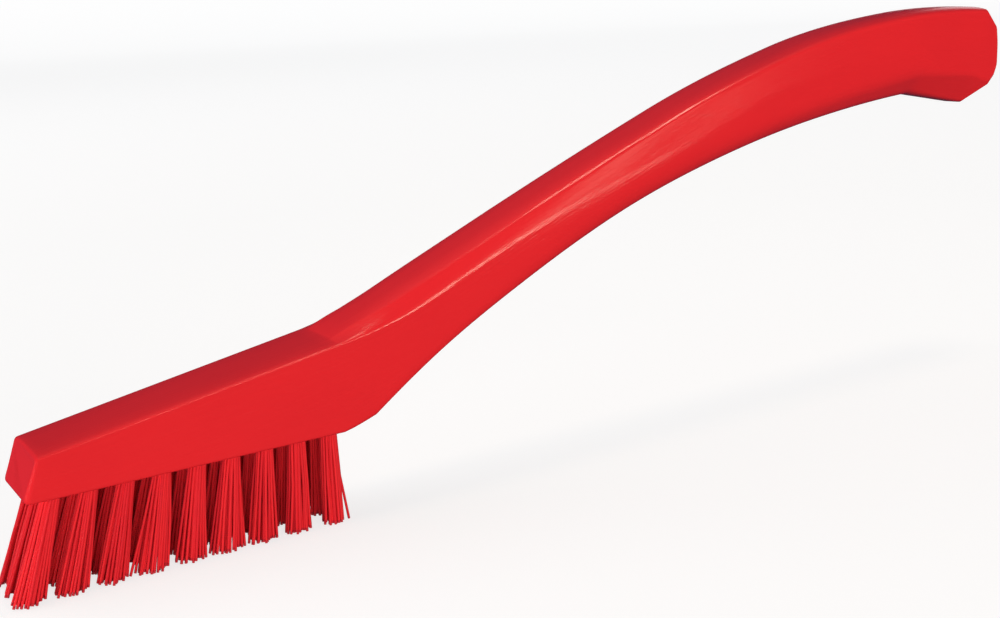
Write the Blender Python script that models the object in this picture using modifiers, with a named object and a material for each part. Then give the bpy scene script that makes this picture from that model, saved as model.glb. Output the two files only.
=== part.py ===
"""Detailing brush: a one-piece moulded handle and head with three rows of filament tufts.

Each tuft is folded over a flat metal anchor that is driven into its own blind hole.
The body is worked out in the head's frame: x runs from the head's tip to the handle's end,
y runs across and z rises from the flat face that carries the tufts. It then stands on the
trimmed ends of its filaments, with the origin under the middle of its length.
"""

import math

import bmesh
import bpy
from mathutils import Matrix, Vector

# Moulded body, along its length
BODY_LENGTH = 0.204
HEAD_LENGTH = 0.048
TIP_FACE_SETBACK = 0.0021
TIP_SETBACK_FADE = 0.012
HEEL_FLAT_RUN = 0.0005
HEEL_CORNER_RUN = 0.0062
NOTCH_FROM_END = 0.024
BEAK_FROM_END = 0.0062
END_TOP_CHAMFER_RUN = 0.0039
END_LOWER_CORNER_FROM_END = 0.0025

# Moulded body, heights
HEAD_TIP_THICKNESS = 0.0065
HEAD_HEEL_THICKNESS = 0.01435
HANDLE_RISE = 0.04385
HEEL_CORNER_RISE = 0.0016
NOTCH_THICKNESS = 0.0155
BEAK_THICKNESS = 0.0193
END_TOP_CHAMFER_DROP = 0.0039
END_LOWER_CORNER_RISE = 0.0029
END_FACE_RISE = 0.0068
TOP_CROWN = 0.0005

# Moulded body, widths
HEAD_TIP_WIDTH = 0.0127
HEEL_WIDTH = 0.0138
WAIST_WIDTH = 0.013
END_WIDTH = 0.0132

# Rounding of the body's edges
TOP_EDGE_ROUND = 0.0011
SHOULDER_ROUND = 0.0009
LOWER_EDGE_ROUND = 0.00035
END_EDGE_ROUND = 0.0007

# Tufts and their holes
TUFT_COUNT = 9
ROW_COUNT = 3
FIRST_TUFT_FROM_TIP = 0.0036
LAST_TUFT_FROM_HEEL = 0.0018
SIDE_WALL = 0.00085
TUFT_DIAMETER = 0.0025
BRISTLE_LENGTH = 0.015
TRIM_DEPTH = 0.0005
CLEARANCE = 0.00025
FOLD_THICKNESS = 0.0007
BACKING_SLICE = 0.0007
MOUTH_RECESS = 0.0006
STRAND_RADIUS = 0.00026
STRAND_ROOT = 0.0002
OVERRUN = 0.001
MERGE_DISTANCE = 0.00001
INNER_STRANDS = 5
OUTER_STRANDS = 11
INNER_RING_SHARE = 0.45
FLARE_SHARE = 1.7
STRAND_SIDES = 3
TIP_LEAN = math.radians(18.5)
HEEL_LEAN = math.radians(2.2)
ROW_SPLAY = math.radians(2)

# Anchors
ANCHOR_THICKNESS = 0.00035
ANCHOR_HEIGHT = 0.0016
ANCHOR_BITE = 0.00025

# Each line of the handle holds knots of run share, rise share and slope share.
TOP_LINE_SHARES = (
    (0, 0, 1.5),
    (0.204, 0.305, 1.52),
    (0.459, 0.653, 1.25),
    (0.65, 0.872, 0.9),
    (0.841, 0.986, 0.32),
    (1, 0.993, -0.15),
)
RIDGE_LINE_SHARES = (
    (0, 0, 0.61),
    (0.064, 0.049, 0.97),
    (0.153, 0.171, 1.57),
    (0.331, 0.428, 1.29),
    (0.522, 0.639, 0.98),
    (0.713, 0.781, 0.47),
    (1, 0.83, 0),
)
LOWER_LINE_SHARES = (
    (0, 0, 2.4),
    (0.097, 0.212, 1.85),
    (0.2, 0.366, 1.4),
    (0.389, 0.597, 1.09),
    (0.543, 0.755, 0.9),
    (0.768, 0.922, 0.5),
    (1, 1, 0.2),
)

# Each of these follows the handle with knots of run share, size share and slope share.
TOP_FACE_SHARES = (
    (0, 0.6, 2),
    (0.08, 0.7, 0.9),
    (0.3, 0.79, 0.3),
    (0.7, 0.91, 0.25),
    (1, 0.95, 0),
)
CROWN_SHARES = (
    (0, 0, 12),
    (0.1, 1, 0),
    (0.6, 0.8, -0.6),
    (1, 0.2, -1),
)
CHAMFER_HEIGHT_SHARES = (
    (0, 0, 0.3),
    (0.3, 0.11, 0.25),
    (0.52, 0.17, 0.25),
    (0.8, 0.235, 0.3),
    (0.953, 0.28, 0),
    (0.96, 0.28, -9.6),
    (0.984, 0.05, -9.6),
    (1, 0.02, 0),
)
CHAMFER_WIDTH_SHARES = (
    (0, 0, 0.4),
    (0.3, 0.16, 0.4),
    (0.52, 0.26, 0.5),
    (0.8, 0.46, 0.6),
    (0.953, 0.56, 0),
    (0.96, 0.56, -21.2),
    (0.984, 0.05, -21.2),
    (1, 0.02, 0),
)
WAIST_SHARE = 0.42
CROWN_MIDWAY_SHARE = 0.75

# Steps of the surface, and the angle past which an edge stays sharp
SHARP_ANGLE = math.radians(25)
ARC_STEPS = 2
HOLE_SIDES = 14
HEAD_STATIONS = 4
HANDLE_STATIONS = 17
BEAK_STATIONS = 3


def between(knots, at):
    """Read a line of knots at a run share, as a smooth cubic from knot to knot."""
    at = min(max(at, knots[0][0]), knots[-1][0])
    for (x0, y0, s0), (x1, y1, s1) in zip(knots, knots[1:]):
        if at <= x1:
            run = x1 - x0
            t = (at - x0) / run
            rise = y1 - y0
            return (
                y0
                + t * run * s0
                + t * t * (3 * rise - run * (2 * s0 + s1))
                + t * t * t * (run * (s0 + s1) - 2 * rise)
            )
    return knots[-1][1]


def mix(a, b, share):
    """Run straight from a to b."""
    return a + (b - a) * share


def handle_share(x):
    """The share of the handle's run that lies before x."""
    return min(max((x - HEAD_LENGTH) / (BODY_LENGTH - HEAD_LENGTH), 0), 1)


def top_height(x):
    """The top line's height over the flat face of the head."""
    if x <= HEAD_LENGTH:
        share = (x - TIP_FACE_SETBACK) / (HEAD_LENGTH - TIP_FACE_SETBACK)
        return mix(HEAD_TIP_THICKNESS, HEAD_HEEL_THICKNESS, share)
    chamfer_start = BODY_LENGTH - END_TOP_CHAMFER_RUN
    height = HEAD_HEEL_THICKNESS + HANDLE_RISE * between(TOP_LINE_SHARES, handle_share(x))
    if x > chamfer_start:
        height -= END_TOP_CHAMFER_DROP * (x - chamfer_start) / END_TOP_CHAMFER_RUN
    return height


def lower_height(x):
    """The lower line's height, from the flat head round the heel and the notch to the beak."""
    heel_start = HEAD_LENGTH + HEEL_FLAT_RUN
    heel_corner = HEAD_LENGTH + HEEL_CORNER_RUN
    notch = BODY_LENGTH - NOTCH_FROM_END
    beak = BODY_LENGTH - BEAK_FROM_END
    lower_corner = BODY_LENGTH - END_LOWER_CORNER_FROM_END
    notch_height = top_height(notch) - NOTCH_THICKNESS
    beak_height = top_height(beak) - BEAK_THICKNESS
    if x <= heel_start:
        return 0
    if x <= heel_corner:
        share = (x - heel_start) / (heel_corner - heel_start)
        return HEEL_CORNER_RISE * share * share
    if x <= notch:
        share = between(LOWER_LINE_SHARES, (x - heel_corner) / (notch - heel_corner))
        return mix(HEEL_CORNER_RISE, notch_height, share)
    if x <= beak:
        return mix(notch_height, beak_height, (x - notch) / (beak - notch))
    if x <= lower_corner:
        share = (x - beak) / (lower_corner - beak)
        return beak_height + END_LOWER_CORNER_RISE * share
    share = (x - lower_corner) / (BODY_LENGTH - lower_corner)
    return beak_height + mix(END_LOWER_CORNER_RISE, END_FACE_RISE, share * share)


def half_width(x):
    """Half the body's width, with its slight waist in the handle."""
    if x <= HEAD_LENGTH:
        return mix(HEAD_TIP_WIDTH, HEEL_WIDTH, x / HEAD_LENGTH) / 2
    share = handle_share(x)
    if share <= WAIST_SHARE:
        ease = math.sin(math.pi / 2 * share / WAIST_SHARE) ** 2
        return mix(HEEL_WIDTH, WAIST_WIDTH, ease) / 2
    ease = math.sin(math.pi / 2 * (share - WAIST_SHARE) / (1 - WAIST_SHARE)) ** 2
    return mix(WAIST_WIDTH, END_WIDTH, ease) / 2


def rounded(corners, rounds):
    """Turn each inner corner of an open outline into a short arc of ARC_STEPS steps."""
    points = [corners[0]]
    for before, corner, after, size in zip(corners, corners[1:], corners[2:], rounds):
        back, on = before - corner, after - corner
        start = corner + back.normalized() * min(size, back.length / 2)
        end = corner + on.normalized() * min(size, on.length / 2)
        for step in range(ARC_STEPS + 1):
            t = step / ARC_STEPS
            points.append(start.lerp(corner, t).lerp(corner.lerp(end, t), t))
    points.append(corners[-1])
    return points


def half_section(x, inset):
    """One side of the body's section at x, from the top's middle down to the bottom's middle."""
    share = handle_share(x)
    setback = TIP_FACE_SETBACK * max(0, 1 - x / TIP_SETBACK_FADE)
    top = top_height(x + setback) - inset
    bottom = lower_height(x) + inset
    side = half_width(x) - inset
    face = side * between(TOP_FACE_SHARES, share)
    crown = TOP_CROWN * between(CROWN_SHARES, share)
    ridge_rise = HANDLE_RISE * between(RIDGE_LINE_SHARES, share)
    ridge = min(top, HEAD_HEEL_THICKNESS + ridge_rise) if share > 0 else top
    chamfer_height = LOWER_EDGE_ROUND + (top - bottom) * between(CHAMFER_HEIGHT_SHARES, share)
    chamfer_width = LOWER_EDGE_ROUND + side * between(CHAMFER_WIDTH_SHARES, share)
    corners = [
        Vector((0, top + crown)),
        Vector((face, top)),
        Vector((side, ridge)),
        Vector((side, bottom + chamfer_height)),
        Vector((side - chamfer_width, bottom)),
        Vector((0, bottom)),
    ]
    rounds = (SHOULDER_ROUND, TOP_EDGE_ROUND, LOWER_EDGE_ROUND, LOWER_EDGE_ROUND)
    outline = rounded(corners, rounds)
    outline.insert(1, Vector((face / 2, top + crown * CROWN_MIDWAY_SHARE)))
    height = top + crown - bottom
    return [
        Vector((x + setback * (point.y - bottom) / height, point.x, point.y))
        for point in outline
    ]


def stations():
    """Each station's place along the body, with how far its section is drawn in."""
    heel_start = HEAD_LENGTH + HEEL_FLAT_RUN
    heel_corner = HEAD_LENGTH + HEEL_CORNER_RUN
    notch = BODY_LENGTH - NOTCH_FROM_END
    beak = BODY_LENGTH - BEAK_FROM_END
    chamfer_start = BODY_LENGTH - END_TOP_CHAMFER_RUN
    lower_corner = BODY_LENGTH - END_LOWER_CORNER_FROM_END
    rounding_end = BODY_LENGTH - END_EDGE_ROUND
    places = [mix(TIP_SETBACK_FADE, HEAD_LENGTH, n / HEAD_STATIONS) for n in range(HEAD_STATIONS + 1)]
    places += [heel_start, (heel_start + heel_corner) / 2, heel_corner]
    places += [mix(heel_corner, notch, n / HANDLE_STATIONS) for n in range(1, HANDLE_STATIONS + 1)]
    places += [mix(notch, beak, n / BEAK_STATIONS) for n in range(1, BEAK_STATIONS + 1)]
    places += [(beak + chamfer_start) / 2, chamfer_start, lower_corner]
    places += [(lower_corner + rounding_end) / 2]
    rounding = []
    for step in range(ARC_STEPS + 1):
        angle = math.pi / 2 * step / ARC_STEPS
        rounding.append((END_EDGE_ROUND * (1 - math.sin(angle)), END_EDGE_ROUND * (1 - math.cos(angle))))
    tip = [(distance, inset) for distance, inset in reversed(rounding)]
    end = [(BODY_LENGTH - distance, inset) for distance, inset in rounding]
    return tip + [(place, 0) for place in places] + end


def tuft_spacing():
    """The distance from one tuft to the next along the head."""
    run = HEAD_LENGTH + HEEL_FLAT_RUN - LAST_TUFT_FROM_HEEL - FIRST_TUFT_FROM_TIP
    return run / (TUFT_COUNT - 1)


def row_spacing():
    """The distance from one row of tufts to the next across the head."""
    outer_row = HEAD_TIP_WIDTH / 2 - SIDE_WALL - TUFT_DIAMETER / 2 - CLEARANCE
    return 2 * outer_row / (ROW_COUNT - 1)


def hole_depth():
    """A hole holds the tuft's fold, its anchor and its backing slice, with clearance round each."""
    return 3 * CLEARANCE + FOLD_THICKNESS + ANCHOR_HEIGHT + BACKING_SLICE + MOUTH_RECESS


def tuft_places():
    """Each tuft's name, hole centre on the flat face, and lean along and across the head."""
    places = []
    for row in range(ROW_COUNT):
        across = row - (ROW_COUNT - 1) / 2
        for number in range(TUFT_COUNT):
            centre = Vector((FIRST_TUFT_FROM_TIP + number * tuft_spacing(), across * row_spacing(), 0))
            lean = mix(TIP_LEAN, HEEL_LEAN, number / (TUFT_COUNT - 1))
            places.append((f"{row + 1}_{number + 1}", centre, lean, across * ROW_SPLAY))
    return places


def strand_offsets():
    """Where each strand leaves its tuft's backing slice, in an inner and an outer ring."""
    outer = TUFT_DIAMETER / 2 - STRAND_RADIUS
    offsets = []
    for count, radius in ((INNER_STRANDS, outer * INNER_RING_SHARE), (OUTER_STRANDS, outer)):
        for number in range(count):
            angle = 2 * math.pi * number / count
            offsets.append(Vector((radius * math.cos(angle), radius * math.sin(angle), 0)))
    return offsets


def strand_tip(offset, lean, splay):
    """A strand's end on the trim plane, from the centre of its hole's mouth."""
    slant = Vector((-math.tan(lean), math.tan(splay), -1)) * BRISTLE_LENGTH
    return slant + offset * FLARE_SHARE


def middle_of_length():
    """The middle between the foremost filament end and the handle's end."""
    reach = max(-strand_tip(offset, TIP_LEAN, 0).x for offset in strand_offsets())
    foremost = FIRST_TUFT_FROM_TIP - reach - STRAND_RADIUS
    return (min(0, foremost) + BODY_LENGTH) / 2


def linear(hex_colour):
    """Turn an sRGB hex colour into the linear values that a shader takes."""
    channels = [int(hex_colour[i : i + 2], 16) / 255 for i in (0, 2, 4)]
    return [c / 12.92 if c <= 0.04045 else ((c + 0.055) / 1.055) ** 2.4 for c in channels] + [1]


def material(name, hex_colour, roughness, metallic):
    """A Principled material of one plain finish."""
    made = bpy.data.materials.new(name)
    made.use_nodes = True
    shader = made.node_tree.nodes["Principled BSDF"]
    shader.inputs["Base Color"].default_value = linear(hex_colour)
    shader.inputs["Roughness"].default_value = roughness
    shader.inputs["Metallic"].default_value = metallic
    return made


def add_object(name, bm, collection, finish=None):
    """Keep a bmesh as a named object in a collection."""
    mesh = bpy.data.meshes.new(name)
    bm.to_mesh(mesh)
    bm.free()
    made = bpy.data.objects.new(name, mesh)
    collection.objects.link(made)
    if finish:
        mesh.materials.append(finish)
    return made


def add_cutter(name, bm, collection):
    """Keep a bmesh as a cutter, which isn't rendered."""
    made = add_object(name, bm, collection)
    made.hide_render = True
    made.display_type = "WIRE"
    return made


def boolean(piece, operation, other):
    """Join another closed mesh to a piece, or cut it away."""
    modifier = piece.modifiers.new(f"{operation.lower()}_{other.name}", "BOOLEAN")
    modifier.operation = operation
    modifier.object = other
    modifier.solver = "EXACT"


def add_box(bm, size, centre):
    """A box of three side lengths about its centre."""
    bmesh.ops.create_cube(bm, size=1, matrix=Matrix.Translation(centre) @ Matrix.Diagonal((*size, 1)))


def add_rod(bm, start, end, radius, sides):
    """A straight closed rod from start to end."""
    axis = end - start
    turn = axis.to_track_quat("Z", "Y").to_matrix().to_4x4()
    bmesh.ops.create_cone(
        bm,
        cap_ends=True,
        segments=sides,
        radius1=radius,
        radius2=radius,
        depth=axis.length,
        matrix=Matrix.Translation((start + end) / 2) @ turn,
    )


def build_body(collection, finish):
    """The moulded head and handle: half a loft, mirrored across its middle plane."""
    bm = bmesh.new()
    rings = [
        [bm.verts.new(point) for point in half_section(x, inset)]
        for x, inset in stations()
    ]
    for ring, after in zip(rings, rings[1:]):
        for a, b, c, d in zip(ring, ring[1:], after[1:], after):
            bm.faces.new((d, c, b, a))
    bm.faces.new(rings[0])
    bm.faces.new(reversed(rings[-1]))
    body = add_object("moulded_body", bm, collection, finish)
    mirror = body.modifiers.new("both_sides", "MIRROR")
    mirror.use_axis = (False, True, False)
    mirror.merge_threshold = MERGE_DISTANCE
    mirror.use_clip = True
    body.data.shade_smooth()
    body.data.set_sharp_from_angle(angle=SHARP_ANGLE)
    return body


def build_cutters(collection):
    """The blind holes, the notches that the anchors bite into, and the anchors' windows."""
    holes, notches, windows = bmesh.new(), bmesh.new(), bmesh.new()
    depth = hole_depth()
    radius = TUFT_DIAMETER / 2 + CLEARANCE
    anchor_middle = depth - 2 * CLEARANCE - FOLD_THICKNESS - ANCHOR_HEIGHT / 2
    notch_size = (
        2 * (radius + ANCHOR_BITE + CLEARANCE),
        ANCHOR_THICKNESS + 2 * CLEARANCE,
        ANCHOR_HEIGHT + 2 * CLEARANCE,
    )
    window_size = (TUFT_DIAMETER + 2 * OVERRUN, notch_size[1], notch_size[2])
    for _, centre, _, _ in tuft_places():
        mouth = centre - Vector((0, 0, OVERRUN))
        add_rod(holes, mouth, centre + Vector((0, 0, depth)), radius, HOLE_SIDES)
        middle = centre + Vector((0, 0, anchor_middle))
        add_box(notches, notch_size, middle)
        add_box(windows, window_size, middle)
    return (
        add_cutter("tuft_holes", holes, collection),
        add_cutter("anchor_notches", notches, collection),
        add_cutter("anchor_windows", windows, collection),
        anchor_middle,
    )


def build_strands(name, lean, splay, collection):
    """A tuft's strands, from inside the backing slice to the flat trim of their ends."""
    bm = bmesh.new()
    root = Vector((0, 0, MOUTH_RECESS + STRAND_ROOT))
    for offset in strand_offsets():
        tip = strand_tip(offset, lean, splay)
        start = offset + root
        past_trim = tip + (tip - start).normalized() * TRIM_DEPTH
        add_rod(bm, start, past_trim, STRAND_RADIUS, STRAND_SIDES)
    bmesh.ops.bisect_plane(
        bm,
        geom=bm.verts[:] + bm.edges[:] + bm.faces[:],
        plane_co=(0, 0, -BRISTLE_LENGTH),
        plane_no=(0, 0, -1),
        clear_outer=True,
    )
    bmesh.ops.holes_fill(bm, edges=bm.edges[:], sides=STRAND_SIDES)
    bmesh.ops.recalc_face_normals(bm, faces=bm.faces[:])
    return add_cutter(name, bm, collection)


def main():
    """Build the brush in its own frame."""
    for old in list(bpy.data.objects):
        bpy.data.objects.remove(old, do_unlink=True)
    scene = bpy.context.scene
    parts = bpy.data.collections.new("detailing_brush")
    cutters = bpy.data.collections.new("cutters")
    scene.collection.children.link(parts)
    scene.collection.children.link(cutters)

    moulded = material("red_moulded_polypropylene", "DB272B", 0.32, 0)
    filament = material("red_polyester_filament", "D3222B", 0.45, 0)
    steel = material("anchor_steel", "B9BCC0", 0.35, 1)

    frame = bpy.data.objects.new("brush_frame", None)
    parts.objects.link(frame)
    frame.location = (-middle_of_length(), 0, BRISTLE_LENGTH)

    holes, notches, windows, anchor_middle = build_cutters(cutters)
    body = build_body(parts, moulded)
    boolean(body, "DIFFERENCE", holes)
    boolean(body, "DIFFERENCE", notches)
    for piece in (body, holes, notches, windows):
        piece.parent = frame

    anchor_size = (
        TUFT_DIAMETER + 2 * (CLEARANCE + ANCHOR_BITE),
        ANCHOR_THICKNESS,
        ANCHOR_HEIGHT,
    )
    plug_top = hole_depth() - CLEARANCE
    for label, centre, lean, splay in tuft_places():
        strands = build_strands(f"strands_{label}", lean, splay, cutters)
        plug = bmesh.new()
        add_rod(
            plug,
            Vector((0, 0, MOUTH_RECESS)),
            Vector((0, 0, plug_top)),
            TUFT_DIAMETER / 2,
            HOLE_SIDES,
        )
        tuft = add_object(f"tuft_{label}", plug, parts, filament)
        boolean(tuft, "UNION", strands)
        boolean(tuft, "DIFFERENCE", windows)
        anchor_mesh = bmesh.new()
        add_box(anchor_mesh, anchor_size, Vector((0, 0, anchor_middle)))
        anchor = add_object(f"anchor_{label}", anchor_mesh, parts, steel)
        for piece in (strands, tuft, anchor):
            piece.parent = frame
            piece.location = centre


main()
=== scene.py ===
"""A red detailing brush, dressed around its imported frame.

The head and handle are one moulding of polypropylene. Three rows of nine filament tufts stand in
blind holes in the head's flat face, each folded over a steel anchor. All sizes are in metres, in
the frame's axes: +X from the head's tip to the handle's end, +Y across, +Z up from the surface
that the filament ends rest on.
"""

import logging
import math
import random
from dataclasses import dataclass, field
from enum import Enum
from typing import Callable

import bmesh
import bpy
from mathutils import Matrix, Vector


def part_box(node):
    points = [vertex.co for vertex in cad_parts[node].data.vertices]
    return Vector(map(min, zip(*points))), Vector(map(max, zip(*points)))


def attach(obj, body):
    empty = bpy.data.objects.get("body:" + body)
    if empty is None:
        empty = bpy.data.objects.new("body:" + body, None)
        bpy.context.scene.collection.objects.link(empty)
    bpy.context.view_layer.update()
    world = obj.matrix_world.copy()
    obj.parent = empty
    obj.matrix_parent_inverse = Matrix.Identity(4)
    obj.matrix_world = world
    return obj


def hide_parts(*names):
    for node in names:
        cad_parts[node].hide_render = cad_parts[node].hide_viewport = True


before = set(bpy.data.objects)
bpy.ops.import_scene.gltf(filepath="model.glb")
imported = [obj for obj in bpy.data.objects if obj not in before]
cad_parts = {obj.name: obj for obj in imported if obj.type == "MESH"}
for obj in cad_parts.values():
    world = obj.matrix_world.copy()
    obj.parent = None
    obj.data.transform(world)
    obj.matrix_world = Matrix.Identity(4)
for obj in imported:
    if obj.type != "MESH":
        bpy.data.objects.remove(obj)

log = logging.getLogger("detailing_brush")

ROOT = "root"
MILLIMETRE = 0.001
PHOTO_WIDTH = 1000
SEED = 27


class Slot(Enum):
    """The record's material slots for the dressed pieces. The anchors keep their own."""

    MOULDING = "moulding"
    FILAMENT = "filament"


def linear(hex_colour: str) -> tuple[float, float, float, float]:
    """Turn an sRGB hex colour into the linear values that a shader takes.

    Args:
        hex_colour: six hex digits.

    Returns:
        Red, green, blue and an alpha of 1.
    """
    channels = [int(hex_colour[i : i + 2], 16) / 255 for i in (0, 2, 4)]
    red, green, blue = (c / 12.92 if c <= 0.04045 else ((c + 0.055) / 1.055) ** 2.4 for c in channels)
    return red, green, blue, 1.0


def per_metre(millimetres: float) -> float:
    """A texture scale whose features are about this many millimetres across."""
    return 1 / (millimetres * MILLIMETRE)


def mix(a: float, b: float, share: float) -> float:
    """Run straight from a to b."""
    return a + (b - a) * share


def arch(share: float) -> float:
    """Rise from 0 at both ends of a run to 1 halfway."""
    return 4 * share * (1 - share)


def level_way(azimuth: float) -> Vector:
    """The level direction this many degrees round from the front, towards the handle's end."""
    angle = math.radians(azimuth)
    return Vector((math.sin(angle), -math.cos(angle), 0))


def add_node(
    tree: bpy.types.NodeTree,
    kind: str,
    values: dict | None = None,
    links: dict | None = None,
    **options: object,
) -> bpy.types.Node:
    """Add a shader node with its settings and links.

    Args:
        tree: the material's or the world's node tree.
        kind: the node's type name.
        values: input name or index to a constant.
        links: input name or index to the socket that feeds it.
        options: the node's own properties.

    Returns:
        The new node.
    """
    node = tree.nodes.new(kind)
    for name, value in options.items():
        setattr(node, name, value)
    for name, value in (values or {}).items():
        node.inputs[name].default_value = value
    for name, socket in (links or {}).items():
        tree.links.new(socket, node.inputs[name])
    return node


def new_material(name: str) -> tuple[bpy.types.Material, bpy.types.NodeTree, bpy.types.Node]:
    """Start a material.

    Args:
        name: the finish's name.

    Returns:
        The material, its node tree and its Principled shader.
    """
    made = bpy.data.materials.new(name)
    made.use_nodes = True
    return made, made.node_tree, made.node_tree.nodes["Principled BSDF"]


def object_from(bm: bmesh.types.BMesh, name: str, finish: bpy.types.Material) -> bpy.types.Object:
    """Keep a bmesh as an object at the origin.

    Args:
        bm: the shape, which is freed.
        name: the piece's name.
        finish: its material.

    Returns:
        The new object, linked to the scene.
    """
    mesh = bpy.data.meshes.new(name)
    bm.to_mesh(mesh)
    bm.free()
    mesh.materials.append(finish)
    made = bpy.data.objects.new(name, mesh)
    bpy.context.scene.collection.objects.link(made)
    return made


@dataclass(frozen=True)
class MouldedPolypropylene:
    """Red polypropylene homopolymer, injection moulded in a fine-ground steel mould.

    The eye sees an even, saturated red with a soft gloss. Under a lamp, faint flow marks and
    drawn polishing lines that run along the handle break up the shine.
    """

    red: str = "E6262B"
    deep_red: str = "DE242A"
    ior: float = 1.49
    gloss_low: float = 0.14
    gloss_high: float = 0.26
    flow_mm: float = 14.0
    # Real polishing lines and grain are finer. These are as coarse as they need to be to show.
    line_length_mm: float = 7.0
    line_width_mm: float = 0.3
    pore_mm: float = 0.45
    line_depth: float = 0.000034
    pore_depth: float = 0.000008

    def build(self) -> bpy.types.Material:
        """Make the material, which reads the body's own along and around values.

        Returns:
            The body's material.
        """
        made, tree, shader = new_material("moulded_polypropylene_red")
        place = add_node(tree, "ShaderNodeTexCoord").outputs["Object"]
        flow = add_node(
            tree, "ShaderNodeTexNoise", {"Scale": per_metre(self.flow_mm), "Detail": 3.0}, {"Vector": place}
        ).outputs["Fac"]
        colour = add_node(
            tree,
            "ShaderNodeMix",
            {"A": linear(self.deep_red), "B": linear(self.red)},
            {"Factor": flow},
            data_type="RGBA",
        )
        scaled = {}
        for axis, name, size in (("X", "along", self.line_length_mm), ("Y", "around", self.line_width_mm)):
            walked = add_node(tree, "ShaderNodeAttribute", attribute_name=name).outputs["Fac"]
            scaled[axis] = add_node(
                tree, "ShaderNodeMath", {1: per_metre(size)}, {0: walked}, operation="MULTIPLY"
            ).outputs[0]
        surface_place = add_node(tree, "ShaderNodeCombineXYZ", {}, scaled).outputs[0]
        lines = add_node(
            tree, "ShaderNodeTexNoise", {"Scale": 1.0, "Detail": 2.0}, {"Vector": surface_place}
        ).outputs["Fac"]
        pores = add_node(
            tree, "ShaderNodeTexNoise", {"Scale": per_metre(self.pore_mm), "Detail": 2.0}, {"Vector": place}
        ).outputs["Fac"]
        gloss = add_node(
            tree,
            "ShaderNodeMapRange",
            {"To Min": self.gloss_low, "To Max": self.gloss_high},
            {"Value": lines},
        ).outputs["Result"]
        pore_bump = add_node(
            tree, "ShaderNodeBump", {"Distance": self.pore_depth}, {"Height": pores}
        ).outputs["Normal"]
        line_bump = add_node(
            tree, "ShaderNodeBump", {"Distance": self.line_depth}, {"Height": lines, "Normal": pore_bump}
        ).outputs["Normal"]
        tree.links.new(colour.outputs["Result"], shader.inputs["Base Color"])
        tree.links.new(gloss, shader.inputs["Roughness"])
        tree.links.new(line_bump, shader.inputs["Normal"])
        shader.inputs["IOR"].default_value = self.ior
        return made


@dataclass(frozen=True)
class DrawnPolyesterFilament:
    """Red polyester (PBT) monofilament, extruded and drawn.

    The eye sees stiff satin strands whose shade differs a little from one to the next, with
    thin highlights along their length.
    """

    light_red: str = "F02C33"
    dark_red: str = "DC242E"
    cut_red: str = "C42530"
    ior: float = 1.57
    specular: float = 0.3
    gloss: float = 0.36
    cut_share: float = 0.985

    def build(self) -> bpy.types.Material:
        """Make the material, which reads each strand's own shade and place along it.

        Returns:
            The filament's material.
        """
        made, tree, shader = new_material("drawn_polyester_filament_red")
        shade = add_node(tree, "ShaderNodeAttribute", attribute_name="shade").outputs["Fac"]
        reach = add_node(tree, "ShaderNodeAttribute", attribute_name="reach").outputs["Fac"]
        strand = add_node(
            tree,
            "ShaderNodeMix",
            {"A": linear(self.dark_red), "B": linear(self.light_red)},
            {"Factor": shade},
            data_type="RGBA",
        ).outputs["Result"]
        cut = add_node(
            tree, "ShaderNodeMath", {1: self.cut_share}, {0: reach}, operation="GREATER_THAN"
        ).outputs[0]
        colour = add_node(
            tree,
            "ShaderNodeMix",
            {"B": linear(self.cut_red)},
            {"Factor": cut, "A": strand},
            data_type="RGBA",
        ).outputs["Result"]
        tree.links.new(colour, shader.inputs["Base Color"])
        shader.inputs["Roughness"].default_value = self.gloss
        shader.inputs["IOR"].default_value = self.ior
        shader.inputs["Specular IOR Level"].default_value = self.specular
        return made


@dataclass(frozen=True)
class FlatWireSteel:
    """Flat rolled steel wire, cropped into anchors.

    The eye would see a dull grey metal with rolling lines along it, if the tufts were pulled.
    """

    grey: str = "B7BABD"
    gloss_low: float = 0.28
    gloss_high: float = 0.5
    # Real rolling lines are finer. These are as coarse as they need to be to show.
    line_length_mm: float = 2.0
    line_width_mm: float = 0.08

    def build(self) -> bpy.types.Material:
        """Make the material, with its lines along X.

        Returns:
            The anchors' material.
        """
        made, tree, shader = new_material("flat_wire_steel")
        place = add_node(tree, "ShaderNodeTexCoord").outputs["Object"]
        scale = tuple(map(per_metre, (self.line_length_mm, self.line_width_mm, self.line_width_mm)))
        stretch = add_node(tree, "ShaderNodeMapping", {"Scale": scale}, {"Vector": place}).outputs["Vector"]
        lines = add_node(tree, "ShaderNodeTexNoise", {"Scale": 1.0, "Detail": 2.0}, {"Vector": stretch})
        gloss = add_node(
            tree,
            "ShaderNodeMapRange",
            {"To Min": self.gloss_low, "To Max": self.gloss_high},
            {"Value": lines.outputs["Fac"]},
        ).outputs["Result"]
        tree.links.new(gloss, shader.inputs["Roughness"])
        shader.inputs["Base Color"].default_value = linear(self.grey)
        shader.inputs["Metallic"].default_value = 1.0
        return made


@dataclass(frozen=True)
class ShareLine:
    """A smooth line through knots of run share, size share and slope share."""

    knots: tuple[tuple[float, float, float], ...]

    def at(self, share: float) -> float:
        """Read the line.

        Args:
            share: the share of the run, which is kept between the first and last knot.

        Returns:
            The size share there, on the cubic between the knots on each side.
        """
        share = min(max(share, self.knots[0][0]), self.knots[-1][0])
        for (x0, y0, s0), (x1, y1, s1) in zip(self.knots, self.knots[1:]):
            if share <= x1:
                break
        run, rise = x1 - x0, y1 - y0
        t = (share - x0) / run
        bend = 3 * rise - run * (2 * s0 + s1)
        return y0 + t * (run * s0 + t * (bend + t * (run * (s0 + s1) - 2 * rise)))


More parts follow.
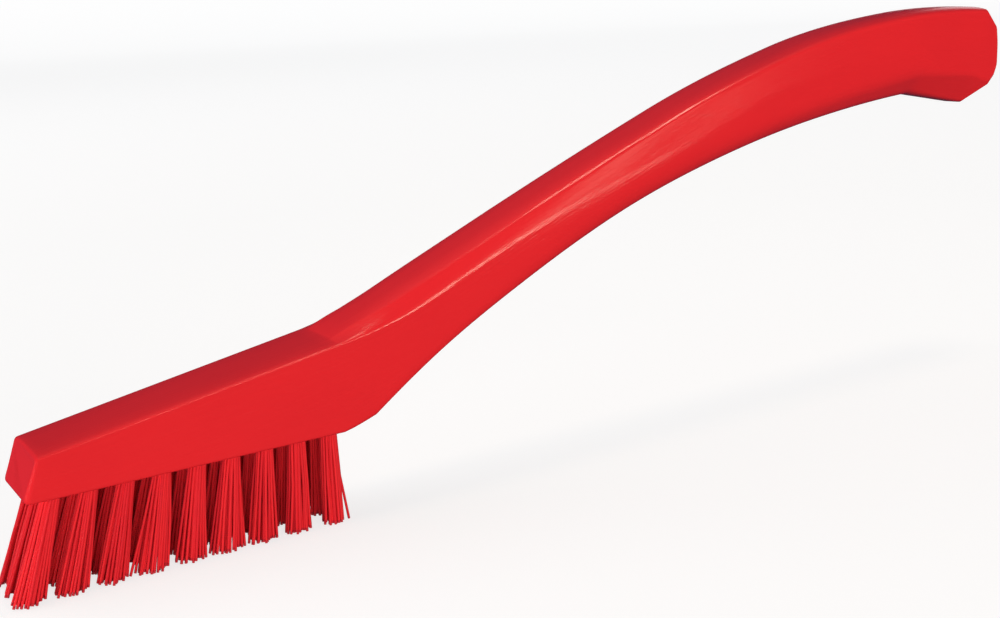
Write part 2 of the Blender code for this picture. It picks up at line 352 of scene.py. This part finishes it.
@dataclass
class TuftHoles:
    """The blind holes in the head's flat face, and how the tufts lean out of them."""

    count: int = 9
    rows: int = 3
    first_from_tip: float = 0.0036
    spacing: float = 0.0053875
    row_spacing: float = 0.004
    radius: float = 0.0015
    depth: float = 0.00435
    sides: int = 36
    overrun: float = 0.001
    tip_lean: float = math.radians(18.5)
    heel_lean: float = math.radians(2.2)
    row_splay: float = math.radians(2)

    def places(self) -> list[tuple[str, Vector, float, float]]:
        """Set out the tufts in the head's frame.

        Returns:
            Each tuft's label, hole centre on the flat face, and lean along and across the head.
        """
        found = []
        for row in range(self.rows):
            across = row - (self.rows - 1) / 2
            for number in range(self.count):
                centre = Vector((self.first_from_tip + number * self.spacing, across * self.row_spacing, 0))
                lean = mix(self.tip_lean, self.heel_lean, number / (self.count - 1))
                found.append((f"{row + 1}_{number + 1}", centre, lean, across * self.row_splay))
        return found

    def cutter(self, place: Vector) -> bmesh.types.BMesh:
        """The holes as one mesh of plugs, which don't touch each other.

        Args:
            place: where the head frame's origin lies.

        Returns:
            The plugs.
        """
        bm = bmesh.new()
        for _, centre, _, _ in self.places():
            middle = centre + place + Vector((0, 0, (self.depth - self.overrun) / 2))
            bmesh.ops.create_cone(
                bm,
                cap_ends=True,
                segments=self.sides,
                radius1=self.radius,
                radius2=self.radius,
                depth=self.depth + self.overrun,
                matrix=Matrix.Translation(middle),
            )
        return bm


@dataclass
class Moulding:
    """The head and handle, worked out in the head's frame: x from its tip, z from its flat face."""

    place: Vector
    length: float = 0.204
    head_length: float = 0.048
    tip_setback: float = 0.0021
    setback_fade: float = 0.012
    heel_flat_run: float = 0.0005
    heel_corner_run: float = 0.0062
    notch_from_end: float = 0.0232
    beak_from_end: float = 0.0062
    top_chamfer_run: float = 0.0034
    lower_corner_from_end: float = 0.0025
    tip_thickness: float = 0.0065
    heel_thickness: float = 0.01435
    handle_rise: float = 0.04385
    heel_corner_rise: float = 0.0016
    heel_corner_power: float = 1.2
    notch_thickness: float = 0.0155
    beak_thickness: float = 0.0188
    top_chamfer_drop: float = 0.0036
    lower_corner_rise: float = 0.0034
    end_face_rise: float = 0.008
    end_face_power: float = 1.4
    crown: float = 0.0006
    tip_width: float = 0.0127
    heel_width: float = 0.0138
    waist_width: float = 0.013
    end_width: float = 0.0132
    waist_share: float = 0.42
    # How far before and after its corner each arc starts and ends.
    head_edge_rounds: tuple[float, float] = (0.0012, 0.0003)
    ridge_rounds: tuple[float, float] = (0.001, 0.001)
    shoulder_rounds: tuple[float, float] = (0.0013, 0.0009)
    round_limit: float = 0.45
    head_edge_fade: float = 0.25
    lower_edge_round: float = 0.00035
    belly_round: float = 0.0014
    tip_edge_round: float = 0.0007
    tip_reach: float = 0.0004
    end_edge_round: float = 0.0007
    cap_inset: float = 0.0003
    crown_power: int = 3
    side_bulge: float = 0.00048
    facet_bow: float = 0.00006
    arc_steps: int = 6
    crown_steps: int = 9
    facet_steps: int = 3
    flank_steps: int = 4
    step: float = 0.0016
    smooth_angle: float = math.radians(32)
    # Each line follows the handle, in shares of the rise, the half width or a size above. The
    # lower line runs from the heel's corner to the notch.
    top_line: ShareLine = ShareLine(
        (
            (0, 0, 2),
            (0.02, 0.035, 1.5),
            (0.06, 0.09, 1.35),
            (0.1, 0.149, 1.5),
            (0.204, 0.305, 1.52),
            (0.459, 0.671, 1.35),
            (0.65, 0.878, 0.9),
            (0.841, 0.979, 0.28),
            (0.95, 0.987, -0.1),
            (1, 0.98, -0.2),
        )
    )
    ridge_line: ShareLine = ShareLine(
        (
            (0, 0, 0.61),
            (0.064, 0.049, 0.97),
            (0.153, 0.171, 1.57),
            (0.331, 0.428, 1.29),
            (0.522, 0.639, 0.98),
            (0.713, 0.781, 0.47),
            (1, 0.83, 0),
        )
    )
    lower_line: ShareLine = ShareLine(
        (
            (0, 0, 2.15),
            (0.097, 0.195, 1.82),
            (0.2, 0.363, 1.5),
            (0.389, 0.622, 1.19),
            (0.543, 0.774, 0.83),
            (0.768, 0.921, 0.48),
            (1, 1, 0.2),
        )
    )
    face_line: ShareLine = ShareLine(
        ((0, 0.6, 2), (0.08, 0.71, 0.9), (0.3, 0.79, 0.3), (0.7, 0.91, 0.25), (1, 0.95, 0))
    )
    crown_line: ShareLine = ShareLine(
        ((0, 0.5, 4), (0.12, 1, 0), (0.5, 0.8, 0), (0.8, 1.5, 1.5), (0.93, 1.6, 0), (1, 1.2, -8))
    )
    crown_end_share: float = 0.04
    shoulder_line: ShareLine = ShareLine(
        ((0, 0.2, 0), (0.12, 0.5, 1), (0.35, 0.9, 0.3), (0.7, 0.7, 0), (1, 0.6, 0))
    )
    bulge_line: ShareLine = ShareLine(((0, 0, 0), (0.12, 0, 0), (0.38, 1, 0), (0.62, 0, 0), (1, 0, 0)))
    belly_line: ShareLine = ShareLine(((0, 0, 0), (0.1, 1, 0), (0.8, 1, 0), (0.95, 0.3, 0), (1, 0, 0)))
    chamfer_height_line: ShareLine = ShareLine(
        (
            (0, 0, 0.3),
            (0.3, 0.11, 0.25),
            (0.52, 0.17, 0.25),
            (0.8, 0.235, 0.3),
            (0.953, 0.28, 0),
            (0.96, 0.28, -9.6),
            (0.984, 0.05, -9.6),
            (1, 0.02, 0),
        )
    )
    chamfer_width_line: ShareLine = ShareLine(
        (
            (0, 0, 0.4),
            (0.3, 0.16, 0.4),
            (0.52, 0.26, 0.5),
            (0.8, 0.46, 0.7),
            (0.953, 0.58, 0),
            (0.96, 0.58, -22),
            (0.984, 0.05, -22),
            (1, 0.02, 0),
        )
    )

    def handle_share(self, x: float) -> float:
        """The share of the handle's run that lies before x."""
        return min(max((x - self.head_length) / (self.length - self.head_length), 0), 1)

    def top_height(self, x: float) -> float:
        """Follow the top line.

        Args:
            x: the place along the body.

        Returns:
            The line's height over the head's flat face.
        """
        if x <= self.head_length:
            share = (x - self.tip_setback) / (self.head_length - self.tip_setback)
            return mix(self.tip_thickness, self.heel_thickness, share)
        start = self.length - self.top_chamfer_run
        height = self.heel_thickness + self.handle_rise * self.top_line.at(self.handle_share(x))
        return height - max(0, x - start) / self.top_chamfer_run * self.top_chamfer_drop

    def lower_height(self, x: float) -> float:
        """Follow the lower line, from the flat face round the heel and the notch to the beak.

        Args:
            x: the place along the body.

        Returns:
            The line's height over the head's flat face.
        """
        heel_start = self.head_length + self.heel_flat_run
        heel_corner = self.head_length + self.heel_corner_run
        notch = self.length - self.notch_from_end
        beak = self.length - self.beak_from_end
        corner = self.length - self.lower_corner_from_end
        notch_height = self.top_height(notch) - self.notch_thickness
        beak_height = self.top_height(beak) - self.beak_thickness
        if x <= heel_start:
            return 0
        if x <= heel_corner:
            share = (x - heel_start) / (heel_corner - heel_start)
            return self.heel_corner_rise * share**self.heel_corner_power
        if x <= notch:
            share = self.lower_line.at((x - heel_corner) / (notch - heel_corner))
            return mix(self.heel_corner_rise, notch_height, share)
        if x <= beak:
            return mix(notch_height, beak_height, (x - notch) / (beak - notch))
        if x <= corner:
            return beak_height + self.lower_corner_rise * (x - beak) / (corner - beak)
        share = ((x - corner) / (self.length - corner)) ** self.end_face_power
        return beak_height + mix(self.lower_corner_rise, self.end_face_rise, share)

    def half_width(self, x: float) -> float:
        """Follow the side, with its slight waist in the handle.

        Args:
            x: the place along the body.

        Returns:
            Half the body's width.
        """
        if x <= self.head_length:
            return mix(self.tip_width, self.heel_width, x / self.head_length) / 2
        share = self.handle_share(x)
        if share <= self.waist_share:
            ease = math.sin(math.pi / 2 * share / self.waist_share) ** 2
            return mix(self.heel_width, self.waist_width, ease) / 2
        ease = math.sin(math.pi / 2 * (share - self.waist_share) / (1 - self.waist_share)) ** 2
        return mix(self.waist_width, self.end_width, ease) / 2

    def joined(
        self, runs: list[tuple[Callable[[float], Vector], int]], rounds: list[tuple[float, float]]
    ) -> list[Vector]:
        """Join the runs of an open outline, with an arc in place of each corner.

        Args:
            runs: each run as its point at a share of its way, with its number of steps.
            rounds: how far before and after each corner its arc starts and ends.

        Returns:
            The outline's points, as many for every section.
        """
        points = []
        for number, (run, steps) in enumerate(runs):
            length = (run(1) - run(0)).length
            start = min(rounds[number - 1][1] / length, self.round_limit) if number else 0
            end = 1 - min(rounds[number][0] / length, self.round_limit) if number < len(rounds) else 1
            if number:
                arc_start, corner, arc_end = points[-1], run(0), run(start)
                for step in range(1, self.arc_steps):
                    t = step / self.arc_steps
                    points.append(arc_start.lerp(corner, t).lerp(corner.lerp(arc_end, t), t))
            points += [run(mix(start, end, step / steps)) for step in range(steps + 1)]
        return points

    def half_section(self, x: float, inset: float) -> list[Vector]:
        """One side of the section at x, from the top's middle down to the bottom's middle.

        Args:
            x: the place along the body.
            inset: how far the section is drawn in, at the rounded ends.

        Returns:
            The points in the head's frame.
        """
        share = self.handle_share(x)
        setback = self.tip_setback * max(0, 1 - x / self.setback_fade)
        top = self.top_height(x + setback) - inset
        bottom = self.lower_height(x) + inset
        side = self.half_width(x) - inset
        face = side * self.face_line.at(share)
        crown = self.crown * self.crown_line.at(share)
        ridge_rise = self.handle_rise * self.ridge_line.at(share)
        ridge = min(top, self.heel_thickness + ridge_rise) if share > 0 else top
        low = self.lower_edge_round
        chamfer_height = bottom + low + (top - bottom) * self.chamfer_height_line.at(share)
        chamfer_width = side - low - side * self.chamfer_width_line.at(share)
        shoulder = Vector((face, top))
        ridge_corner = Vector((side, ridge))
        chamfer_top = Vector((side, chamfer_height))
        chamfer_foot = Vector((chamfer_width, bottom))
        bulge = self.side_bulge * self.bulge_line.at(share)
        facet_bow = self.facet_bow * self.bulge_line.at(share)
        crown_reach = mix(side, face, min(1, share / self.crown_end_share))

        def crowned(point: Vector) -> Vector:
            """Lift a point by the crown."""
            return point + Vector((0, crown * max(0, 1 - (point.x / crown_reach) ** self.crown_power)))

        def crest(t: float) -> Vector:
            """Run from the top's middle to the shoulder."""
            return crowned(Vector((face * t, top)))

        def facet(t: float) -> Vector:
            """Run from the shoulder to the ridge."""
            return crowned(shoulder.lerp(ridge_corner, t)) + Vector((0, facet_bow * arch(t)))

        def flank(t: float) -> Vector:
            """Run from the ridge down the side to the lower bevel."""
            return ridge_corner.lerp(chamfer_top, t) + Vector((bulge * arch(t), 0))

        runs = [
            (crest, self.crown_steps),
            (facet, self.facet_steps),
            (flank, self.flank_steps),
            (lambda t: chamfer_top.lerp(chamfer_foot, t), 1),
            (lambda t: chamfer_foot.lerp(Vector((0, bottom)), t), 1),
        ]
        near_head = max(0, 1 - share / self.head_edge_fade)
        ridge = tuple(
            mix(on, head, near_head) for on, head in zip(self.ridge_rounds, self.head_edge_rounds)
        )
        belly = low + self.belly_round * self.belly_line.at(share)
        full = self.shoulder_line.at(share)
        shoulder_arc = tuple(size * full for size in self.shoulder_rounds)
        outline = self.joined(runs, [shoulder_arc, ridge, (belly, belly), (belly, belly)])
        height = top + crown - bottom
        return [Vector((x + setback * (p.y - bottom) / height, p.x, p.y)) for p in outline]

    def stations(self) -> list[tuple[float, float]]:
        """Set out the sections, closer together round both ends.

        Returns:
            Each section's place along the body, with how far it is drawn in.
        """
        turns = [
            0,
            self.setback_fade,
            self.head_length,
            self.head_length + self.heel_flat_run,
            self.head_length + self.heel_corner_run,
            self.length - self.notch_from_end,
            self.length - self.beak_from_end,
            self.length - self.top_chamfer_run,
            self.length - self.lower_corner_from_end,
            self.length,
        ]
        places = []
        for start, end in zip(turns, turns[1:]):
            steps = max(1, math.ceil((end - start) / self.step))
            places += [mix(start, end, n / steps) for n in range(steps)]
        angles = [math.pi / 2 * step / self.arc_steps for step in range(self.arc_steps + 1)]
        shares = [(1 - math.sin(angle), 1 - math.cos(angle)) for angle in angles]
        tip = [
            (self.tip_edge_round * run - self.tip_reach, self.tip_edge_round * inset)
            for run, inset in shares[::-1]
        ]
        end = [
            (self.length - self.end_edge_round * run, self.end_edge_round * inset)
            for run, inset in shares
        ]
        middle = [(place, 0.0) for place in places if tip[-1][0] < place < end[0][0]]
        return tip + middle + end

    def loft(self) -> bmesh.types.BMesh:
        """Bridge the sections and close the ends.

        Returns:
            The body without its holes, with how far each point lies along and around it.
        """
        bm = bmesh.new()
        along = bm.verts.layers.float.new("along")
        around = bm.verts.layers.float.new("around")
        rings = []
        for x, inset in self.stations():
            half = self.half_section(x, inset)
            girth = [0.0]
            for before, after in zip(half, half[1:]):
                girth.append(girth[-1] + (after - before).length)
            walk = list(zip(half, girth))
            walk += [(Vector((p.x, -p.y, p.z)), -g) for p, g in walk[-2:0:-1]]
            ring = []
            for point, distance in walk:
                vert = bm.verts.new(point + self.place)
                vert[along] = x
                vert[around] = distance
                ring.append(vert)
            rings.append([bm.edges.new(pair) for pair in zip(ring, ring[1:] + ring[:1])])
        for ring, after in zip(rings, rings[1:]):
            bmesh.ops.bridge_loops(bm, edges=ring + after)
        for ring in (rings[0], rings[-1]):
            caps = bmesh.ops.contextual_create(bm, geom=ring)["faces"]
            bmesh.ops.inset_individual(bm, faces=caps, thickness=self.cap_inset)
        bmesh.ops.recalc_face_normals(bm, faces=bm.faces[:])
        return bm

    def build(self, holes: TuftHoles, finish: bpy.types.Material) -> bpy.types.Object:
        """Drill the tufts' holes in the lofted body and shade it.

        Args:
            holes: the blind holes.
            finish: the moulding's material.

        Returns:
            The dressed body.
        """
        blank = object_from(self.loft(), "blank", finish)
        drill = object_from(holes.cutter(self.place), "drill", finish)
        cut = blank.modifiers.new("drilled", "BOOLEAN")
        cut.operation = "DIFFERENCE"
        cut.solver = "EXACT"
        cut.object = drill
        ready = blank.evaluated_get(bpy.context.evaluated_depsgraph_get())
        mesh = bpy.data.meshes.new_from_object(ready)
        for scrap in (blank, drill):
            bpy.data.objects.remove(scrap)
        mesh.name = "dressed_body"
        mesh.shade_smooth()
        mesh.set_sharp_from_angle(angle=self.smooth_angle)
        body = bpy.data.objects.new("dressed_body", mesh)
        bpy.context.scene.collection.objects.link(body)
        flats = body.modifiers.new("flat_faces", "WEIGHTED_NORMAL")
        flats.keep_sharp = True
        return body


@dataclass
class Tufts:
    """Bundles of filament, each folded over its anchor into a hairpin."""

    place: Vector
    length: float = 0.015
    filament_radius: float = 0.00021
    filament_sides: int = 6
    # Each column's distance from the anchor, its pitch along the anchor and its count of hairpins.
    columns: tuple[tuple[float, float, int], ...] = (
        (0.00036, 0.00034, 8),
        (0.0007, 0.00034, 7),
        (0.00104, 0.00034, 5),
        (0.00126, 0.00036, 2),
    )
    fold_height: float = 0.00315
    fold_rises: tuple[float, ...] = (0.0002, 0.0005, 0.00075, 0.00095)
    closing: float = 0.00014
    flares: tuple[float, ...] = (1.8, 1.85, 1.8, 1.95, 1.8, 2.1, 1.8, 1.7, 1.3)
    row_flare: float = 1.25
    tip_jitter: float = 0.00022
    bow: float = 0.00016
    rag: float = 0.0006
    leg_steps: int = 2
    smooth_angle: float = math.radians(70)
    # Which hairpin of a tuft strays, and how far its near leg's end goes.
    strays: dict[str, tuple[int, Vector]] = field(
        default_factory=lambda: {
            "1_9": (7, Vector((0.0012, -0.0003, 0))),
            "1_1": (0, Vector((-0.0002, -0.0006, 0))),
            "1_4": (0, Vector((-0.0009, 0, 0))),
        }
    )

    def roots(self) -> list[tuple[float, float, float]]:
        """Pack the hairpins of one tuft in columns beside its anchor.

        Returns:
            Each hairpin's x and y in its hole, and its fold's rise.
        """
        found = []
        for (offset, pitch, count), rise in zip(self.columns, self.fold_rises):
            for number in range(count):
                found.append(((number - (count - 1) / 2) * pitch, offset, rise))
        return found

    def leg(
        self, x: float, y: float, bundle: tuple[float, float, float], chance: random.Random
    ) -> list[Vector]:
        """One leg of a hairpin, from the anchor down to its cut end.

        Args:
            x: the leg's offset from the hole's centre along the brush.
            y: its offset across the brush.
            bundle: the tuft's lean towards the head's tip, its lean across and its flare.
            chance: the tuft's own random draws.

        Returns:
            The leg's points from the hole's centre, top first.
        """
        lean, splay, flare = bundle
        rag = chance.random() ** 2 * self.rag
        drop = self.length - self.filament_radius * math.sin(lean) - rag
        jitter = Vector((chance.uniform(-1, 1), chance.uniform(-1, 1), 0)) * self.tip_jitter
        sag = Vector((chance.uniform(-1, 1), chance.uniform(-1, 1), 0)) * self.bow
        mouth = Vector((x, y - math.copysign(self.closing, y), 0))
        tip = Vector((mouth.x - math.tan(lean) * drop, mouth.y + math.tan(splay) * drop, -drop))
        tip += Vector((mouth.x * (flare - 1), mouth.y * (self.row_flare - 1), 0)) + jitter
        points = []
        for step in range(self.leg_steps + 1):
            t = step / self.leg_steps
            points.append(mouth.lerp(tip, t) + sag * math.sin(math.pi * t))
        return points

    def hairpin(
        self,
        root: tuple[float, float, float],
        bundle: tuple[float, float, float],
        stray: Vector | None,
        chance: random.Random,
    ) -> list[Vector]:
        """A folded filament's centreline.

        Args:
            root: its x, y and fold rise.
            bundle: the tuft's lean towards the head's tip, its lean across and its flare.
            stray: how far the near leg's end strays, if it does.
            chance: the tuft's own random draws.

        Returns:
            The points from one cut end, over the anchor, to the other.
        """
        x, y, rise = root
        near = self.leg(x, -y, bundle, chance)
        far = self.leg(x, y, bundle, chance)
        if stray:
            count = len(near) - 1
            near = [p + stray * (n / count) ** 2 for n, p in enumerate(near)]
        fold = [
            Vector((x, -y, self.fold_height)),
            Vector((x, 0, self.fold_height + rise)),
            Vector((x, y, self.fold_height)),
        ]
        return near[::-1] + fold + far

    def add_filament(self, bm: bmesh.types.BMesh, line: list[Vector], shade: float) -> None:
        """Run a rod along a centreline, ring by ring.

        Args:
            bm: the tuft's bmesh, with its shade and reach layers.
            line: the centreline's points.
            shade: the strand's own shade, from 0 to 1.
        """
        shades, reaches = bm.verts.layers.float["shade"], bm.verts.layers.float["reach"]
        last = len(line) - 1
        rings = []
        for index, point in enumerate(line):
            way = (line[min(index + 1, last)] - line[max(index - 1, 0)]).normalized()
            side = (Vector((1, 0, 0)) - way * way.x).normalized()
            turn = Matrix((side, way.cross(side), way)).transposed().to_4x4()
            ring = bmesh.ops.create_circle(
                bm,
                cap_ends=index in (0, last),
                segments=self.filament_sides,
                radius=self.filament_radius,
                matrix=Matrix.Translation(point) @ turn,
            )["verts"]
            for vert in ring:
                vert[shades] = shade
                vert[reaches] = abs(2 * index / last - 1)
            rings.append(list({edge for vert in ring for edge in vert.link_edges}))
        for ring, after in zip(rings, rings[1:]):
            bmesh.ops.bridge_loops(bm, edges=ring + after)

    def build(self, holes: TuftHoles, finish: bpy.types.Material) -> list[bpy.types.Object]:
        """Make every tuft.

        Args:
            holes: where the tufts stand.
            finish: the filament's material.

        Returns:
            One object for each tuft.
        """
        made = []
        for label, centre, lean, splay in holes.places():
            chance = random.Random(f"{SEED} {label}")
            bm = bmesh.new()
            bm.verts.layers.float.new("shade")
            bm.verts.layers.float.new("reach")
            stray_at, stray = self.strays.get(label, (-1, None))
            bundle = (lean, splay, self.flares[int(label[2:]) - 1])
            for number, root in enumerate(self.roots()):
                line = self.hairpin(root, bundle, stray if number == stray_at else None, chance)
                self.add_filament(bm, [p + centre + self.place for p in line], chance.random())
            bmesh.ops.recalc_face_normals(bm, faces=bm.faces[:])
            tuft = object_from(bm, f"filaments_{label}", finish)
            tuft.data.shade_smooth()
            tuft.data.set_sharp_from_angle(angle=self.smooth_angle)
            made.append(tuft)
        return made


@dataclass(frozen=True)
class Lamp:
    """A soft lamp: its direction from the brush in degrees, distance, size and radiance."""

    name: str
    azimuth: float
    elevation: float
    distance: float
    width: float
    height: float
    radiance: float
    shines: bool = False
    colour: str = "FFFFFF"


@dataclass
class Studio:
    """The floor, lamps, world and camera."""

    head: Vector
    camera_from_head: Vector = field(default_factory=lambda: Vector((-0.0356, -0.18798, 0.06659)))
    aim: Vector = field(default_factory=lambda: Vector((0, 0, 0.035)))
    heading: float = 0.5604
    tilt: float = 0.2368
    roll: float = 0.0475
    focal_pixels: float = 1328.7672
    sensor: float = 36.0
    nearest_seen: float = 0.01
    floor_reach: float = 2.2
    floor_steps: int = 96
    cove_radius: float = 0.35
    cove_steps: int = 10
    wall_height: float = 0.62
    merge_reach: float = 0.0001
    floor_grey: str = "989898"
    near_glow: float = 0.757
    far_glow: float = 0.945
    near_reach: float = 0.3
    far_reach: float = 2.5
    flag_reach: float = 2.1
    flag_height: float = 0.0005
    floor_flag_sides: int = 48
    standing_flag_steps: int = 24
    # Each flag's name, its first and last azimuth in degrees, and its foot's and top's height.
    standing_flags: tuple[tuple[str, float, float, float, float], ...] = (
        ("front_flag", -90, 90, 0.0, 0.6),
        ("right_flag", 90, 143, 0.22, 2.4),
        ("back_flag", 143, 270, 0.0, 2.4),
    )
    room_colour: str = "40454E"
    # The flags' own dim blue-grey glow, a painted glow that the brush's gloss reflects.
    flag_glow_colour: str = "2A3044"
    lamps: tuple[Lamp, ...] = (
        Lamp("left_key", -100, 5, 1.1, 1.2, 0.24, 11.2),
        Lamp("front_fill", -16, 5, 1.1, 1.0, 0.24, 10.2),
        Lamp("top_fill", 180, 60, 1.2, 1.6, 1.2, 1.0),
        Lamp("low_strip", 13, 12.5, 1.0, 0.4, 0.16, 13.0, True, "FFE9D2"),
        Lamp("ridge_strip", 32, 8.5, 1.0, 0.14, 0.06, 8.0, True, "FFE9D2"),
        Lamp("facet_strip", 25, 34, 1.0, 0.2, 0.3, 2.2, True, "FFE9D2"),
        Lamp("high_strip", 90, 79, 0.9, 0.14, 0.26, 11.5, True, "FFE9D2"),
        Lamp("far_card", 118, 13, 1.9, 0.55, 0.4, 1.0, True),
    )

    def build_floor(self) -> None:
        """A round pale floor whose edge curves up into a low wall."""
        made, tree, shader = new_material("pale_studio_floor")
        shader.inputs["Base Color"].default_value = linear(self.floor_grey)
        shader.inputs["Roughness"].default_value = 1.0
        shader.inputs["Specular IOR Level"].default_value = 0.0
        rays = add_node(tree, "ShaderNodeLightPath").outputs
        seen = rays["Is Camera Ray"]
        for ray in ("Is Glossy Ray", "Is Transmission Ray"):
            seen = add_node(
                tree, "ShaderNodeMath", {}, {0: seen, 1: rays[ray]}, operation="MAXIMUM"
            ).outputs[0]
        place = add_node(tree, "ShaderNodeTexCoord").outputs["Object"]
        away = add_node(tree, "ShaderNodeVectorMath", {}, {0: place}, operation="LENGTH").outputs["Value"]
        reach = add_node(
            tree,
            "ShaderNodeMapRange",
            {
                "From Min": self.near_reach,
                "From Max": self.far_reach,
                "To Min": self.near_glow,
                "To Max": self.far_glow,
            },
            {"Value": away},
        ).outputs["Result"]
        glow_strength = add_node(
            tree, "ShaderNodeMath", {}, {0: seen, 1: reach}, operation="MULTIPLY"
        ).outputs[0]
        glow = add_node(
            tree, "ShaderNodeEmission", {"Color": (1, 1, 1, 1)}, {"Strength": glow_strength}
        ).outputs[0]
        total = add_node(tree, "ShaderNodeAddShader", {}, {0: shader.outputs[0], 1: glow}).outputs[0]
        tree.links.new(total, tree.nodes["Material Output"].inputs["Surface"])
        bm = bmesh.new()
        profile = [Vector((0, 0, 0)), Vector((self.floor_reach, 0, 0))]
        for step in range(1, self.cove_steps + 1):
            angle = math.pi / 2 * step / self.cove_steps
            out, up = math.sin(angle), 1 - math.cos(angle)
            profile.append(Vector((self.floor_reach + self.cove_radius * out, 0, self.cove_radius * up)))
        profile.append(Vector((self.floor_reach + self.cove_radius, 0, self.wall_height)))
        verts = [bm.verts.new(point) for point in profile]
        edges = [bm.edges.new(pair) for pair in zip(verts, verts[1:])]
        bmesh.ops.spin(
            bm,
            geom=verts + edges,
            cent=(0, 0, 0),
            axis=(0, 0, 1),
            angle=2 * math.pi,
            steps=self.floor_steps,
            use_merge=True,
        )
        bmesh.ops.remove_doubles(bm, verts=bm.verts[:], dist=self.merge_reach)
        bmesh.ops.recalc_face_normals(bm, faces=bm.faces[:])
        floor = object_from(bm, "floor", made)
        floor.data.shade_smooth()

    def add_lamp(self, lamp: Lamp) -> None:
        """Hang a soft area lamp that faces the brush.

        Args:
            lamp: its place, size and radiance.
        """
        elevation = math.radians(lamp.elevation)
        level = level_way(lamp.azimuth) * math.cos(elevation)
        towards = level + Vector((0, 0, math.sin(elevation)))
        data = bpy.data.lights.new(lamp.name, "AREA")
        data.shape = "RECTANGLE"
        data.size, data.size_y = lamp.width, lamp.height
        data.energy = lamp.radiance * math.pi * lamp.width * lamp.height
        data.color = linear(lamp.colour)[:3]
        made = bpy.data.objects.new(lamp.name, data)
        bpy.context.scene.collection.objects.link(made)
        made.location = self.aim + towards * lamp.distance
        made.rotation_mode = "QUATERNION"
        made.rotation_quaternion = (-towards).to_track_quat("-Z", "Y")
        made.visible_camera = False
        made.visible_glossy = lamp.shines

    def add_flag(self, name: str, bm: bmesh.types.BMesh, finish: bpy.types.Material) -> None:
        """Keep a shape as a dark flag that only reflections see.

        Args:
            name: the flag's name.
            bm: its shape, which is freed.
            finish: its dark blue-grey glow, which only reflections see.
        """
        flag = object_from(bm, name, finish)
        flag.visible_camera = False
        flag.visible_diffuse = False
        flag.visible_transmission = False
        flag.visible_shadow = False

    def build_flags(self) -> None:
        """Dark flags on the floor, in front and behind, which keep the pale room out of the gloss and glow
        a dim blue-grey there instead.
        """
        made, tree, shader = new_material("navy_glowing_flag")
        shader.inputs["Base Color"].default_value = (0, 0, 0, 1)
        # The flags are no lamps, yet they glow this dim blue-grey. The brush's gloss shows it as a painted
        # reflection.
        shader.inputs["Emission Color"].default_value = linear(self.flag_glow_colour)
        shader.inputs["Emission Strength"].default_value = 1.0
        shader.inputs["Specular IOR Level"].default_value = 0.0
        disc = bmesh.new()
        bmesh.ops.create_circle(
            disc,
            cap_ends=True,
            segments=self.floor_flag_sides,
            radius=self.flag_reach,
            matrix=Matrix.Translation((0, 0, self.flag_height)),
        )
        self.add_flag("floor_flag", disc, made)
        for name, start, end, low, high in self.standing_flags:
            bm = bmesh.new()
            level = level_way(start) * self.flag_reach
            foot, top = (bm.verts.new(level + Vector((0, 0, height))) for height in (low, high))
            edge = bm.edges.new((foot, top))
            bmesh.ops.spin(
                bm,
                geom=[foot, top, edge],
                cent=(0, 0, 0),
                axis=(0, 0, 1),
                angle=math.radians(end - start),
                steps=self.standing_flag_steps,
            )
            self.add_flag(name, bm, made)

    def build_world(self) -> None:
        """A dim blue-grey room above the backdrop."""
        world = bpy.data.worlds.new("dim_room")
        world.use_nodes = True
        background = world.node_tree.nodes["Background"]
        background.inputs["Color"].default_value = linear(self.room_colour)
        bpy.context.scene.world = world

    def build_camera(self) -> None:
        """The photograph's camera, from its heading, tilt and roll."""
        forward = Vector(
            (
                math.sin(self.heading) * math.cos(self.tilt),
                math.cos(self.heading) * math.cos(self.tilt),
                -math.sin(self.tilt),
            )
        )
        level = forward.cross(Vector((0, 0, 1))).normalized()
        below = forward.cross(level)
        right = level * math.cos(self.roll) + below * math.sin(self.roll)
        down = below * math.cos(self.roll) - level * math.sin(self.roll)
        turn = Matrix((right, -down, -forward)).transposed()
        data = bpy.data.cameras.new("photo_camera")
        data.sensor_width = self.sensor
        data.lens = self.sensor * self.focal_pixels / PHOTO_WIDTH
        data.clip_start = self.nearest_seen
        camera = bpy.data.objects.new("photo_camera", data)
        camera.matrix_world = Matrix.Translation(self.camera_from_head + self.head) @ turn.to_4x4()
        bpy.context.scene.collection.objects.link(camera)
        bpy.context.scene.camera = camera

    def build(self) -> None:
        """Set up the whole studio."""
        self.build_floor()
        self.build_flags()
        for lamp in self.lamps:
            self.add_lamp(lamp)
        self.build_world()
        self.build_camera()
        bpy.context.scene.view_settings.view_transform = "Standard"


def head_origin() -> Vector:
    """Where the head frame's origin lies: the tip's middle, on the flat face."""
    low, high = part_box("moulded_body")
    return Vector((low.x, (low.y + high.y) / 2, low.z))


def keep(piece: bpy.types.Object, slot: Slot, *nodes: str) -> None:
    """Let a piece ride on the brush in place of its CAD nodes.

    Args:
        piece: the finished piece.
        slot: the record's material slot; not used.
        nodes: the nodes it stands for.
    """
    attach(piece, ROOT)
    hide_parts(*nodes)
    log.info("%s: %d faces", piece.name, len(piece.data.polygons))


def main() -> None:
    """Build the brush and its studio."""
    logging.basicConfig(level=logging.INFO, format="%(name)s: %(message)s")
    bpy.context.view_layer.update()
    origin = head_origin()
    holes = TuftHoles()

    body = Moulding(origin).build(holes, MouldedPolypropylene().build())
    keep(body, Slot.MOULDING, "moulded_body")

    for tuft in Tufts(origin).build(holes, DrawnPolyesterFilament().build()):
        keep(tuft, Slot.FILAMENT, tuft.name.replace("filaments", "tuft"))

    steel = FlatWireSteel().build()
    for label, _, _, _ in holes.places():
        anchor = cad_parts[f"anchor_{label}"]
        anchor.data.materials.clear()
        anchor.data.materials.append(steel)
        log.info("%s: %d faces", anchor.name, len(anchor.data.polygons))

    Studio(origin).build()


if __name__ == "__main__":
    main()
